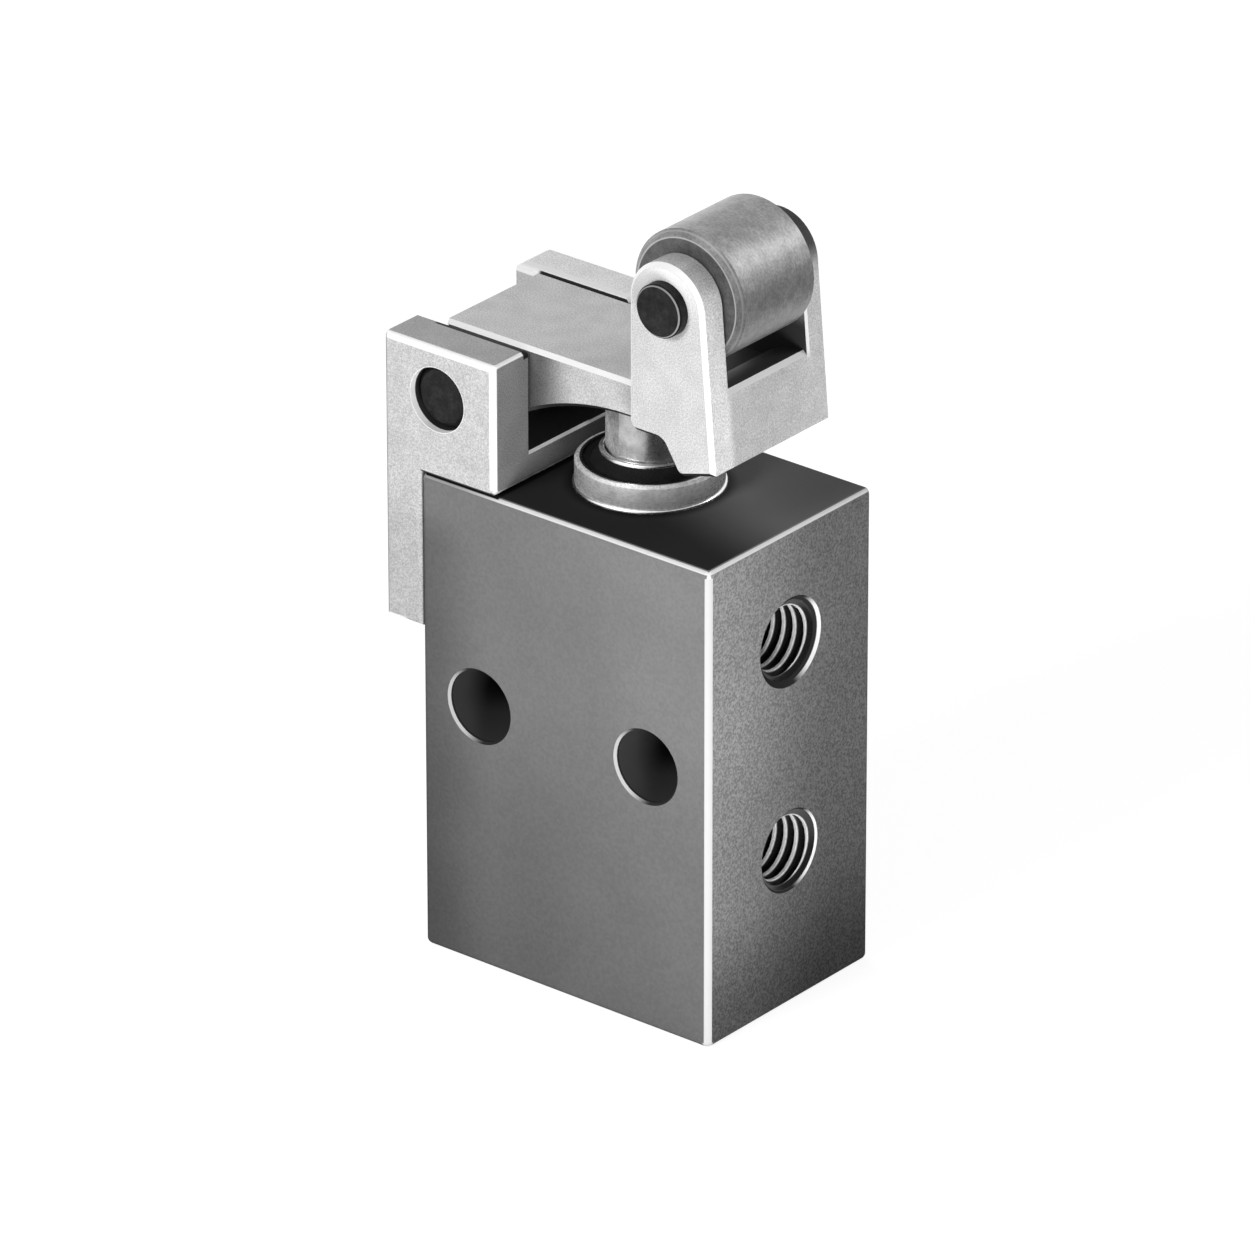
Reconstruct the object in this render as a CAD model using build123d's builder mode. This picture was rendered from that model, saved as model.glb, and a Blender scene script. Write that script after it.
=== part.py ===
from build123d import *
import math
import os

os.makedirs("parts", exist_ok=True)

# A small 3/2-way roller lever valve. Millimetres, +Z up, front at -Y.
# The origin is where the plunger's axis meets the underside of the body.

# Body block: the plunger's axis lies a little right of its middle
body_width = 21.5
body_depth = 15.0
body_height = 30.7
body_edge_radius = 0.4
plunger_offset = 0.3

# Two M4 clearance holes through the body, front to back
mounting_hole_radius = 2.25
mounting_hole_pitch = 12.5
mounting_hole_offset = -0.2
mounting_hole_height = 16.9
mounting_hole_countersink = 0.15

# Two M5 ports in the right side; the outlet is the upper one
port_radius = 2.5
port_thread_length = 5.0
port_drill_radius = 1.2
outlet_port_below_top = 7.15
supply_port_height = 10.05
outlet_countersink = 0.33
supply_countersink = 0.12

# Clearances between pieces
fit_clearance = 0.02
running_clearance = 0.04
seal_clearance = 0.03
lift_clearance = 0.05

# Stepped bore for the plunger, from the top down
bush_shank_radius = 3.85
spring_chamber_radius = 3.3
spring_chamber_depth = 10.8
flow_bore_radius = 2.0

# Guide bush with its collar on the top of the body
collar_radius = 4.4
collar_height = 1.66
collar_rim = 0.45
collar_chamfer = 0.16
bush_length = 5.1
washer_thickness = 0.5
washer_bore_radius = 2.7

# Plunger: guide part, retaining flange and valve stem
plunger_radius = 2.6
plunger_travel = 1.7
plunger_dome_radius = 5.0
plunger_flange_radius = 3.1
plunger_flange_thickness = 0.8
plunger_stem_radius = 1.4
exhaust_bore_radius = 0.7
exhaust_gap = 0.6
cross_hole_radius = 0.5
cross_hole_below_top = 2.6
vent_flat_depth = 0.25
vent_flat_angle = 240.0
vent_flat_bottom_below_top = 3.3

# Wiper ring in the collar, with a raised lip round the plunger
wiper_height = 1.2
wiper_recess = 0.15
wiper_lip_rise = 0.7
wiper_lip_width = 0.3
wiper_slope_width = 0.55

# O-ring sections
stem_ring_section = 0.8
bore_ring_section = 1.0
ring_groove_width = 1.15

# Supply chamber, closed by a screwed plug in the underside
chamber_radius = 3.6
seat_above_supply_port = 3.85
seat_thickness = 1.9
seat_bore_radius = 1.9
seat_lip_height = 0.3
seat_lip_width = 0.4
cage_bore_radius = 2.95
cage_window_radius = 0.9
plug_thread_radius = 4.0
plug_thread_top = 3.6
plug_top = 6.0
plug_recess = 0.4
plug_socket_flats = 4.0
plug_socket_depth = 1.5
plug_guide_depth = 3.1

# Poppet
poppet_radius = 2.7
poppet_disc_thickness = 1.0
poppet_seal_radius = 2.5
poppet_seal_thickness = 0.8
poppet_stem_radius = 1.1

# Springs
plunger_spring_wire = 0.45
plunger_spring_radius = 2.5
plunger_spring_turns = 5
poppet_spring_wire = 0.4
poppet_spring_radius = 2.1
poppet_spring_turns = 4.5

# Bracket: an inverted L with a slot that leaves two ears
bracket_plate_thickness = 2.7
bracket_plate_drop = 9.9
bracket_collar_gap = 1.0
bracket_ear_thickness = 3.0
bracket_edge_radius = 0.3
web_edge_chamfer = 0.15
bracket_corner_radius = 0.5

# Two countersunk M3 screws hold the bracket to the left side
screw_radius = 1.5
screw_head_radius = 2.75
screw_head_sink = 0.1
screw_length = 6.0
screw_below_top = 4.9
screw_edge_distance = 3.0
screw_socket_flats = 2.0
screw_socket_depth = 1.1
screw_hole_clearance = 0.1

# Lever pivot
pivot_from_bracket_left = 3.98
pivot_above_body = 5.0
pivot_pin_radius = 2.0
pivot_pin_recess = 0.5
pivot_pin_chamfer = 0.4

# Lever: hub, arched arm and roller fork in one casting; rises are measured from the pivot
hub_radius = 2.85
hub_clearance = 0.28
ear_top_rise = 3.35
arm_top_rise = 3.45
arm_thickness = 2.35
arm_side_clearance = 0.2
arch_radius = 16.0
tail_length = 1.93
ear_left = 2.78
ear_round_radius = 2.72
ear_round_rise = 9.45
ear_thickness = 1.8
fork_overhang = 1.1
fork_right = 9.05
fork_corner_rise = -0.16
fork_toe_x = 6.45
fork_toe_rise = -0.9
fork_notch_x = 5.2
window_rise = 4.5
window_sill_width = 0.35
ear_heel_radius = 0.6
notch_radius = 0.7
toe_radius = 0.6
lever_edge_chamfer = 0.25

# Roller and its pin, which stands a little proud of the fork
roller_radius = 4.05
roller_side_clearance = 0.1
roller_chamfer = 0.4
roller_pin_radius = 1.65
roller_pin_overhang = 0.7
roller_pin_chamfer = 0.15

# Places worked out from the sizes above
body_left = body_width / 2 + plunger_offset
body_right = body_width / 2 - plunger_offset
mounting_hole_middle = mounting_hole_offset - plunger_offset
collar_top = body_height + collar_height
wiper_pocket_radius = collar_radius - collar_rim
wiper_pocket_floor = collar_top - wiper_recess - wiper_height
bush_bottom = body_height - bush_length
washer_bottom = bush_bottom - washer_thickness
flange_top = washer_bottom - lift_clearance
flange_bottom = flange_top - plunger_flange_thickness
spring_chamber_floor = body_height - spring_chamber_depth
outlet_port_height = body_height - outlet_port_below_top
seat_shoulder_height = supply_port_height + seat_above_supply_port
seat_bottom = seat_shoulder_height - seat_thickness
seat_lip_bottom = seat_bottom - seat_lip_height
seal_top = seat_lip_bottom - fit_clearance
seal_bottom = seal_top - poppet_seal_thickness
poppet_disc_bottom = seal_bottom - poppet_disc_thickness
stem_end = seal_top + exhaust_gap
poppet_travel = plunger_travel - exhaust_gap + lift_clearance
insert_radius = chamber_radius - fit_clearance
pivot_height = body_height + pivot_above_body
web_top = pivot_height - hub_radius - hub_clearance
ear_top = pivot_height + ear_top_rise
arm_top = pivot_height + arm_top_rise
arm_underside = arm_top - arm_thickness
roller_x = ear_left + ear_round_radius
roller_height = pivot_height + ear_round_rise
bracket_left = -body_left - bracket_plate_thickness
bracket_ear_right = -collar_radius - bracket_collar_gap
pivot_x = bracket_left + pivot_from_bracket_left
tail_x = pivot_x - tail_length
screw_pitch = body_depth - 2 * screw_edge_distance
arm_half_width = body_depth / 2 - bracket_ear_thickness - arm_side_clearance
fork_half_width = arm_half_width + fork_overhang
ear_inner_face = fork_half_width - ear_thickness
roller_half_length = ear_inner_face - roller_side_clearance

# The arch is a circle under the arm that touches its flat underside and the hub
arch_centre_height = arm_underside - arch_radius
arch_centre_x = pivot_x + math.sqrt(
    (arch_radius + hub_radius) ** 2 - (pivot_height - arch_centre_height) ** 2
)
plunger_top = (
    arch_centre_height + math.sqrt(arch_radius**2 - arch_centre_x**2) - lift_clearance
)

top_of_body = Plane.XY.offset(body_height)
underside = Plane(origin=(0, 0, 0), x_dir=(1, 0, 0), z_dir=(0, 0, -1))


def coil_spring(coil_radius, wire, turns, bottom, top):
    """A round-wire compression spring that stands between two heights."""
    length = top - bottom - wire
    with BuildPart() as coil:
        with BuildLine() as path:
            Helix(
                pitch=length / turns,
                height=length,
                radius=coil_radius,
                center=(0, 0, bottom + wire / 2),
            )
        with BuildSketch(Plane(origin=path.line @ 0, z_dir=path.line % 0)):
            Circle(wire / 2)
        sweep(path=path.line, is_frenet=True)
    return coil


def ring_seal(section, centre_radius, height):
    """An O-ring of round section, lying level at a height."""
    with BuildPart() as ring:
        with Locations((0, 0, height)):
            Torus(centre_radius, section / 2)
    return ring


def tangent_point(centre_x, centre_height, radius, outside_x, outside_height):
    """Where the line from an outside point touches a circle, on its counter-clockwise side."""
    reach = math.hypot(outside_x - centre_x, outside_height - centre_height)
    angle = math.atan2(outside_height - centre_height, outside_x - centre_x)
    angle += math.acos(radius / reach)
    return (centre_x + radius * math.cos(angle), centre_height + radius * math.sin(angle))


# Body block
with BuildPart() as valve_body:
    with BuildSketch():
        with Locations(((body_right - body_left) / 2, 0)):
            Rectangle(body_left + body_right, body_depth)
    extrude(amount=body_height)
    fillet(valve_body.edges(), body_edge_radius)
    with Locations(top_of_body):
        Hole(bush_shank_radius + fit_clearance, depth=body_height - washer_bottom)
        Hole(spring_chamber_radius, depth=spring_chamber_depth)
        Hole(flow_bore_radius, depth=body_height - seat_bottom)
    with Locations(underside):
        Hole(chamber_radius, depth=seat_shoulder_height)
        Hole(plug_thread_radius + fit_clearance, depth=plug_thread_top + fit_clearance)
    for side in (-1, 1):
        mounting_x = mounting_hole_middle + side * mounting_hole_pitch / 2
        with Locations(
            Plane(origin=(mounting_x, -body_depth / 2, mounting_hole_height), z_dir=(0, -1, 0))
        ):
            CounterSinkHole(
                mounting_hole_radius,
                mounting_hole_radius + mounting_hole_countersink,
                depth=body_depth,
                counter_sink_angle=90,
            )
        with Locations(
            Plane(
                origin=(-body_left, side * screw_pitch / 2, body_height - screw_below_top),
                z_dir=(-1, 0, 0),
            )
        ):
            Hole(
                screw_radius + fit_clearance,
                depth=screw_length + screw_head_sink - bracket_plate_thickness + lift_clearance,
            )
    for port_height, countersink in (
        (outlet_port_height, outlet_countersink),
        (supply_port_height, supply_countersink),
    ):
        with Locations(Plane(origin=(body_right, 0, port_height), z_dir=(1, 0, 0))):
            CounterSinkHole(
                port_radius,
                port_radius + countersink,
                depth=port_thread_length,
                counter_sink_angle=90,
            )
            Hole(port_drill_radius, depth=body_right)
valve_body.part.label = "valve_body"
export_step(valve_body.part, "parts/valve_body.step")

# Guide bush: the collar seats on the body and the shank fills the upper bore
with BuildPart() as guide_bush:
    with BuildSketch(top_of_body):
        Circle(collar_radius)
    extrude(amount=collar_height)
    chamfer(guide_bush.edges().sort_by(Axis.Z)[-1], collar_chamfer)
    with BuildSketch(top_of_body):
        Circle(bush_shank_radius)
    extrude(amount=-bush_length)
    with Locations(Plane.XY.offset(collar_top)):
        CounterBoreHole(
            plunger_radius + running_clearance,
            wiper_pocket_radius,
            counter_bore_depth=collar_top - wiper_pocket_floor,
            depth=collar_height + bush_length,
        )
    with Locations(Plane(origin=(0, 0, bush_bottom), z_dir=(0, 0, -1))):
        Hole(
            plunger_radius + stem_ring_section + 2 * seal_clearance,
            depth=ring_groove_width,
        )
guide_bush.part.label = "guide_bush"
export_step(guide_bush.part, "parts/guide_bush.step")

# Wiper ring, pressed into the collar
wiper_bore_radius = plunger_radius + seal_clearance
wiper_face = wiper_pocket_floor + wiper_height
with BuildPart() as stem_wiper:
    with BuildSketch(Plane.XZ):
        with BuildLine():
            Polyline(
                (wiper_bore_radius, wiper_pocket_floor),
                (wiper_pocket_radius - fit_clearance, wiper_pocket_floor),
                (wiper_pocket_radius - fit_clearance, wiper_face),
                (wiper_bore_radius + wiper_lip_width + wiper_slope_width, wiper_face),
                (wiper_bore_radius + wiper_lip_width, wiper_face + wiper_lip_rise),
                (wiper_bore_radius, wiper_face + wiper_lip_rise),
                close=True,
            )
        make_face()
    revolve(axis=Axis.Z)
stem_wiper.part.label = "stem_wiper"
export_step(stem_wiper.part, "parts/stem_wiper.step")

# O-ring round the plunger, in the open groove at the foot of the bush
stem_o_ring = ring_seal(
    stem_ring_section,
    plunger_radius + seal_clearance + stem_ring_section / 2,
    bush_bottom + ring_groove_width / 2,
)
stem_o_ring.part.label = "stem_o_ring"
export_step(stem_o_ring.part, "parts/stem_o_ring.step")

# Support washer on the step of the bore: it holds the O-ring and stops the plunger's flange
with BuildPart() as support_washer:
    with BuildSketch(Plane.XY.offset(washer_bottom)):
        Circle(bush_shank_radius)
        Circle(washer_bore_radius, mode=Mode.SUBTRACT)
    extrude(amount=washer_thickness)
support_washer.part.label = "support_washer"
export_step(support_washer.part, "parts/support_washer.step")

# Plunger: turned in one piece, with a domed head, a vent flat and a hollow exhaust stem
dome_edge_height = plunger_top - (
    plunger_dome_radius - math.sqrt(plunger_dome_radius**2 - plunger_radius**2)
)
cross_hole_height = body_height - cross_hole_below_top
vent_direction = Vector(1, 0, 0).rotate(Axis.Z, vent_flat_angle)
with BuildPart() as plunger:
    with BuildSketch(Plane.XZ):
        with BuildLine():
            Polyline(
                (0, plunger_top),
                (0, cross_hole_height + cross_hole_radius),
                (exhaust_bore_radius, cross_hole_height + cross_hole_radius),
                (exhaust_bore_radius, stem_end),
                (plunger_stem_radius, stem_end),
                (plunger_stem_radius, flange_bottom),
                (plunger_flange_radius, flange_bottom),
                (plunger_flange_radius, flange_top),
                (plunger_radius, flange_top),
                (plunger_radius, dome_edge_height),
            )
            RadiusArc((plunger_radius, dome_edge_height), (0, plunger_top), -plunger_dome_radius)
        make_face()
    revolve(axis=Axis.Z)
    with BuildSketch(Plane.XY.offset(body_height - vent_flat_bottom_below_top)):
        with PolarLocations(
            2 * plunger_radius - vent_flat_depth, 1, start_angle=vent_flat_angle
        ):
            Rectangle(2 * plunger_radius, 2 * plunger_radius)
    extrude(amount=body_height, mode=Mode.SUBTRACT)
    with Locations(
        Plane(
            origin=vent_direction * plunger_radius + Vector(0, 0, cross_hole_height),
            z_dir=vent_direction,
        )
    ):
        Hole(cross_hole_radius, depth=plunger_radius)
plunger.part.label = "plunger"
export_step(plunger.part, "parts/plunger.step")

# Return spring of the plunger, between its flange and the floor of the upper chamber
plunger_spring = coil_spring(
    plunger_spring_radius,
    plunger_spring_wire,
    plunger_spring_turns,
    spring_chamber_floor,
    flange_bottom,
)
plunger_spring.part.label = "plunger_spring"
export_step(plunger_spring.part, "parts/plunger_spring.step")

# Valve seat against the shoulder of the lower bore, with a groove for its O-ring
seat_ring_height = seat_bottom + seat_thickness / 2
seat_groove_radius = chamber_radius - seal_clearance - bore_ring_section
with BuildPart() as valve_seat:
    with BuildSketch(Plane.XY.offset(seat_bottom)):
        Circle(insert_radius)
    extrude(amount=seat_thickness)
    with BuildSketch(Plane.XY.offset(seat_bottom)):
        Circle(seat_bore_radius + seat_lip_width)
    extrude(amount=-seat_lip_height)
    with Locations(Plane.XY.offset(seat_shoulder_height)):
        Hole(seat_bore_radius)
    with BuildSketch(Plane.XY.offset(seat_ring_height - ring_groove_width / 2)):
        Circle(chamber_radius)
        Circle(seat_groove_radius - seal_clearance, mode=Mode.SUBTRACT)
    extrude(amount=ring_groove_width, mode=Mode.SUBTRACT)
valve_seat.part.label = "valve_seat"
export_step(valve_seat.part, "parts/valve_seat.step")

seat_o_ring = ring_seal(
    bore_ring_section,
    seat_groove_radius + bore_ring_section / 2,
    seat_ring_height,
)
seat_o_ring.part.label = "seat_o_ring"
export_step(seat_o_ring.part, "parts/seat_o_ring.step")

# Cage: a windowed tube that holds the seat up and guides the poppet's disc
with BuildPart() as poppet_cage:
    with BuildSketch(Plane.XY.offset(plug_top)):
        Circle(insert_radius)
        Circle(cage_bore_radius, mode=Mode.SUBTRACT)
    extrude(amount=seat_bottom - plug_top)
    for window_direction in ((1, 0, 0), (0, 1, 0)):
        with Locations(Plane(origin=(0, 0, supply_port_height), z_dir=window_direction)):
            Hole(cage_window_radius)
poppet_cage.part.label = "poppet_cage"
export_step(poppet_cage.part, "parts/poppet_cage.step")

# Poppet: a disc with a guide stem below
plug_guide_bottom = plug_top - plug_guide_depth
poppet_stem_end = plug_guide_bottom + poppet_travel + lift_clearance
with BuildPart() as poppet:
    with BuildSketch(Plane.XY.offset(poppet_disc_bottom)):
        Circle(poppet_radius)
    extrude(amount=poppet_disc_thickness)
    with BuildSketch(Plane.XY.offset(poppet_stem_end)):
        Circle(poppet_stem_radius)
    extrude(amount=poppet_disc_bottom - poppet_stem_end)
poppet.part.label = "poppet"
export_step(poppet.part, "parts/poppet.step")

# Rubber facing of the poppet: closes on the seat's lip and on the plunger's stem
with BuildPart() as poppet_seal:
    with BuildSketch(Plane.XY.offset(seal_bottom)):
        Circle(poppet_seal_radius)
    extrude(amount=poppet_seal_thickness)
poppet_seal.part.label = "poppet_seal"
export_step(poppet_seal.part, "parts/poppet_seal.step")

poppet_spring = coil_spring(
    poppet_spring_radius,
    poppet_spring_wire,
    poppet_spring_turns,
    plug_top,
    poppet_disc_bottom,
)
poppet_spring.part.label = "poppet_spring"
export_step(poppet_spring.part, "parts/poppet_spring.step")

# Bottom plug: threaded foot with a hex socket, and a spigot that guides the poppet
plug_ring_height = (plug_thread_top + plug_top) / 2
with BuildPart() as bottom_plug:
    with BuildSketch(Plane.XY.offset(plug_recess)):
        Circle(plug_thread_radius)
    extrude(amount=plug_thread_top - plug_recess)
    with BuildSketch(Plane.XY.offset(plug_thread_top)):
        Circle(insert_radius)
    extrude(amount=plug_top - plug_thread_top)
    with Locations(Plane.XY.offset(plug_top)):
        Hole(poppet_stem_radius + running_clearance, depth=plug_guide_depth)
    with BuildSketch(Plane.XY.offset(plug_recess)):
        RegularPolygon(plug_socket_flats / 2, 6, major_radius=False)
    extrude(amount=plug_socket_depth, mode=Mode.SUBTRACT)
    with BuildSketch(Plane.XY.offset(plug_ring_height - ring_groove_width / 2)):
        Circle(chamber_radius)
        Circle(seat_groove_radius - seal_clearance, mode=Mode.SUBTRACT)
    extrude(amount=ring_groove_width, mode=Mode.SUBTRACT)
bottom_plug.part.label = "bottom_plug"
export_step(bottom_plug.part, "parts/bottom_plug.step")

plug_o_ring = ring_seal(
    bore_ring_section,
    seat_groove_radius + bore_ring_section / 2,
    plug_ring_height,
)
plug_o_ring.part.label = "plug_o_ring"
export_step(plug_o_ring.part, "parts/plug_o_ring.step")

# Lever bracket: plate down the left side, ears over the top of the body
screw_plane_x = bracket_left + screw_head_sink
with BuildPart() as lever_bracket:
    with BuildSketch(Plane.XZ):
        with BuildLine():
            Polyline(
                (bracket_left, body_height - bracket_plate_drop),
                (-body_left, body_height - bracket_plate_drop),
                (-body_left, body_height),
                (bracket_ear_right, body_height),
                (bracket_ear_right, ear_top),
                (bracket_left, ear_top),
                close=True,
            )
        make_face()
        ear_corners = vertices().sort_by(Axis.X)[-2:]
        fillet(ear_corners.sort_by(Axis.Y)[0], bracket_corner_radius)
    extrude(amount=body_depth / 2, both=True)
    with BuildSketch(Plane.XZ):
        with BuildLine():
            Polyline(
                (2 * bracket_left, web_top),
                (bracket_ear_right - web_edge_chamfer, web_top),
                (bracket_ear_right + collar_radius, web_top - web_edge_chamfer - collar_radius),
                (bracket_ear_right + collar_radius, 2 * ear_top),
                (2 * bracket_left, 2 * ear_top),
                close=True,
            )
        make_face()
    extrude(amount=body_depth / 2 - bracket_ear_thickness, both=True, mode=Mode.SUBTRACT)
    ear_top_edges = lever_bracket.faces().group_by(Axis.Z)[-1].edges()
    fillet(
        lever_bracket.faces().sort_by(Axis.Y)[0].edges()
        + lever_bracket.faces().sort_by(Axis.Y)[-1].edges()
        + ear_top_edges.filter_by(Axis.Y)
        + ear_top_edges.filter_by(Axis.X).sort_by(Axis.Y)[1:-1],
        bracket_edge_radius,
    )
    with Locations(Plane(origin=(pivot_x, 0, pivot_height), z_dir=(0, -1, 0))):
        Hole(pivot_pin_radius + fit_clearance)
    for side in (-1, 1):
        with Locations(
            Plane(
                origin=(bracket_left, side * screw_pitch / 2, body_height - screw_below_top),
                z_dir=(-1, 0, 0),
            )
        ):
            CounterSinkHole(
                screw_radius + screw_hole_clearance,
                screw_head_radius + screw_head_sink + fit_clearance,
                depth=bracket_plate_thickness,
                counter_sink_angle=90,
            )
lever_bracket.part.label = "lever_bracket"
export_step(lever_bracket.part, "parts/lever_bracket.step")

# Countersunk bracket screws
with BuildPart() as bracket_screws:
    for side in (-1, 1):
        head_plane = Plane(
            origin=(screw_plane_x, side * screw_pitch / 2, body_height - screw_below_top),
            z_dir=(1, 0, 0),
        )
        with BuildSketch(head_plane):
            Circle(screw_head_radius)
        extrude(amount=screw_head_radius - screw_radius, taper=45)
        with BuildSketch(head_plane):
            Circle(screw_radius)
        extrude(amount=screw_length)
        with BuildSketch(head_plane):
            RegularPolygon(screw_socket_flats / 2, 6, major_radius=False)
        extrude(amount=screw_socket_depth, mode=Mode.SUBTRACT)
bracket_screws.part.label = "bracket_screws"
export_step(bracket_screws.part, "parts/bracket_screws.step")

# Lever pivot pin, pressed into the bracket's ears and a little short of their faces
with BuildPart() as pivot_pin:
    with BuildSketch(Plane.XZ):
        with Locations((pivot_x, pivot_height)):
            Circle(pivot_pin_radius)
    extrude(amount=body_depth / 2 - pivot_pin_recess, both=True)
    chamfer(pivot_pin.edges().filter_by(GeomType.CIRCLE), pivot_pin_chamfer)
pivot_pin.part.label = "pivot_pin"
export_step(pivot_pin.part, "parts/pivot_pin.step")

# Lever: hub and arched arm, then the roller fork across its right end
arch_share = hub_radius / (arch_radius + hub_radius)
arch_hub_point = (
    pivot_x + (arch_centre_x - pivot_x) * arch_share,
    pivot_height + (arch_centre_height - pivot_height) * arch_share,
)
hub_tail_point = tangent_point(pivot_x, pivot_height, hub_radius, tail_x, arm_top)
fork_corner = (fork_right, pivot_height + fork_corner_rise)
ear_side_point = tangent_point(roller_x, roller_height, ear_round_radius, *fork_corner)
window_height = pivot_height + window_rise
window_face_x = fork_right + (ear_side_point[0] - fork_right) * (
    (window_height - fork_corner[1]) / (ear_side_point[1] - fork_corner[1])
)
pocket_run = window_face_x - window_sill_width - roller_x
pocket_rise = window_height - arm_top
pocket_radius = (pocket_run**2 + pocket_rise**2) / (2 * pocket_rise)
with BuildPart() as lever:
    with BuildSketch(Plane.XZ):
        with BuildLine():
            Polyline(
                hub_tail_point,
                (tail_x, arm_top),
                (roller_x, arm_top),
                (roller_x, arm_underside),
                (arch_centre_x, arm_underside),
            )
            RadiusArc((arch_centre_x, arm_underside), arch_hub_point, -arch_radius)
            RadiusArc(arch_hub_point, hub_tail_point, hub_radius)
        make_face()
    extrude(amount=arm_half_width, both=True)
    for side_face in (lever.faces().sort_by(Axis.Y)[0], lever.faces().sort_by(Axis.Y)[-1]):
        chamfer(side_face.outer_wire().edges(), lever_edge_chamfer)
    with BuildSketch(Plane.XZ):
        with BuildLine():
            FilletPolyline(
                (ear_left, roller_height),
                (ear_left, arm_underside),
                (fork_notch_x, arm_underside),
                (fork_toe_x, pivot_height + fork_toe_rise),
                fork_corner,
                radius=[ear_heel_radius, notch_radius, toe_radius],
            )
            Line(fork_corner, ear_side_point)
            RadiusArc(ear_side_point, (ear_left, roller_height), -ear_round_radius)
        make_face()
    extrude(amount=fork_half_width, both=True)
    for outer_face in (lever.faces().sort_by(Axis.Y)[0], lever.faces().sort_by(Axis.Y)[-1]):
        chamfer(outer_face.outer_wire().edges(), lever_edge_chamfer)
    with BuildSketch(Plane.XZ):
        with BuildLine():
            Polyline((tail_x, arm_top), (roller_x, arm_top))
            RadiusArc(
                (roller_x, arm_top), (roller_x + pocket_run, window_height), pocket_radius
            )
            Polyline(
                (roller_x + pocket_run, window_height),
                (window_face_x - lever_edge_chamfer, window_height),
                (window_face_x + roller_radius, window_height - lever_edge_chamfer - roller_radius),
                (window_face_x + roller_radius, roller_height + roller_radius),
                (tail_x, roller_height + roller_radius),
                (tail_x, arm_top),
            )
        make_face()
    extrude(amount=ear_inner_face, both=True, mode=Mode.SUBTRACT)
    with Locations(Plane(origin=(pivot_x, 0, pivot_height), z_dir=(0, -1, 0))):
        Hole(pivot_pin_radius + running_clearance)
    with Locations(Plane(origin=(roller_x, 0, roller_height), z_dir=(0, -1, 0))):
        Hole(roller_pin_radius + fit_clearance)
lever.part.label = "lever"
export_step(lever.part, "parts/lever.step")

# Roller, free to turn on its pin
with BuildPart() as roller:
    with BuildSketch(Plane.XZ):
        with Locations((roller_x, roller_height)):
            Circle(roller_radius)
            Circle(roller_pin_radius + running_clearance, mode=Mode.SUBTRACT)
    extrude(amount=roller_half_length, both=True)
    chamfer(
        roller.edges().filter_by(GeomType.CIRCLE).group_by(SortBy.RADIUS)[-1], roller_chamfer
    )
roller.part.label = "roller"
export_step(roller.part, "parts/roller.step")

# Roller pin, pressed into the fork's ears
with BuildPart() as roller_pin:
    with BuildSketch(Plane.XZ):
        with Locations((roller_x, roller_height)):
            Circle(roller_pin_radius)
    extrude(amount=fork_half_width + roller_pin_overhang, both=True)
    chamfer(roller_pin.edges().filter_by(GeomType.CIRCLE), roller_pin_chamfer)
roller_pin.part.label = "roller_pin"
export_step(roller_pin.part, "parts/roller_pin.step")
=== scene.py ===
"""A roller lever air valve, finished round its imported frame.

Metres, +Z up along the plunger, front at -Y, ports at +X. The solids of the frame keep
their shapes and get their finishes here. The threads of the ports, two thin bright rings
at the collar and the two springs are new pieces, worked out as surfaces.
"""
import enum
import logging
import math
from dataclasses import dataclass, replace
from functools import partial, reduce
from typing import Sequence, Union

import bpy
import numpy as np
from mathutils import Matrix, Vector


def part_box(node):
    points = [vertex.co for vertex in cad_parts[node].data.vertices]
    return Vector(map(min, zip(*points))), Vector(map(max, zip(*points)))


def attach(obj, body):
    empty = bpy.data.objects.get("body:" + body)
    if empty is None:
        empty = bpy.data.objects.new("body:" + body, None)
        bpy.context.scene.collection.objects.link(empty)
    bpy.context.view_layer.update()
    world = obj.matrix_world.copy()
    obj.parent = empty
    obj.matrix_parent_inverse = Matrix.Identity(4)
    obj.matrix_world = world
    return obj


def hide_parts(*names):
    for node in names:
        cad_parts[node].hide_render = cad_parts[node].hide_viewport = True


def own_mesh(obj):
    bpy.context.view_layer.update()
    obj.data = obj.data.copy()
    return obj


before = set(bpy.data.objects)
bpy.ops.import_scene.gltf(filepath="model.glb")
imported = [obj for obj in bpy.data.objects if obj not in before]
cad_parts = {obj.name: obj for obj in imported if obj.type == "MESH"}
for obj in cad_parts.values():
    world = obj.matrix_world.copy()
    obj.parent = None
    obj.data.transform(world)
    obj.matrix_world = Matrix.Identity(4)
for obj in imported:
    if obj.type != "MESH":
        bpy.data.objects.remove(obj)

logging.basicConfig(level=logging.INFO, format="%(message)s")
log = logging.getLogger("valve")

MM = 0.001
CREASE = math.radians(35)
Socket = bpy.types.NodeSocket
Value = Union[float, Socket]
Paint = Union[Sequence[float], Socket]
Inputs = dict[Union[str, int], Union[float, Sequence[float], Socket]]
Span = tuple[float, float]
Point = tuple[float, float, float]


class Axis(enum.Enum):
    """The axis a piece is turned about."""

    X = 0
    Y = 1
    Z = 2


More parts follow.
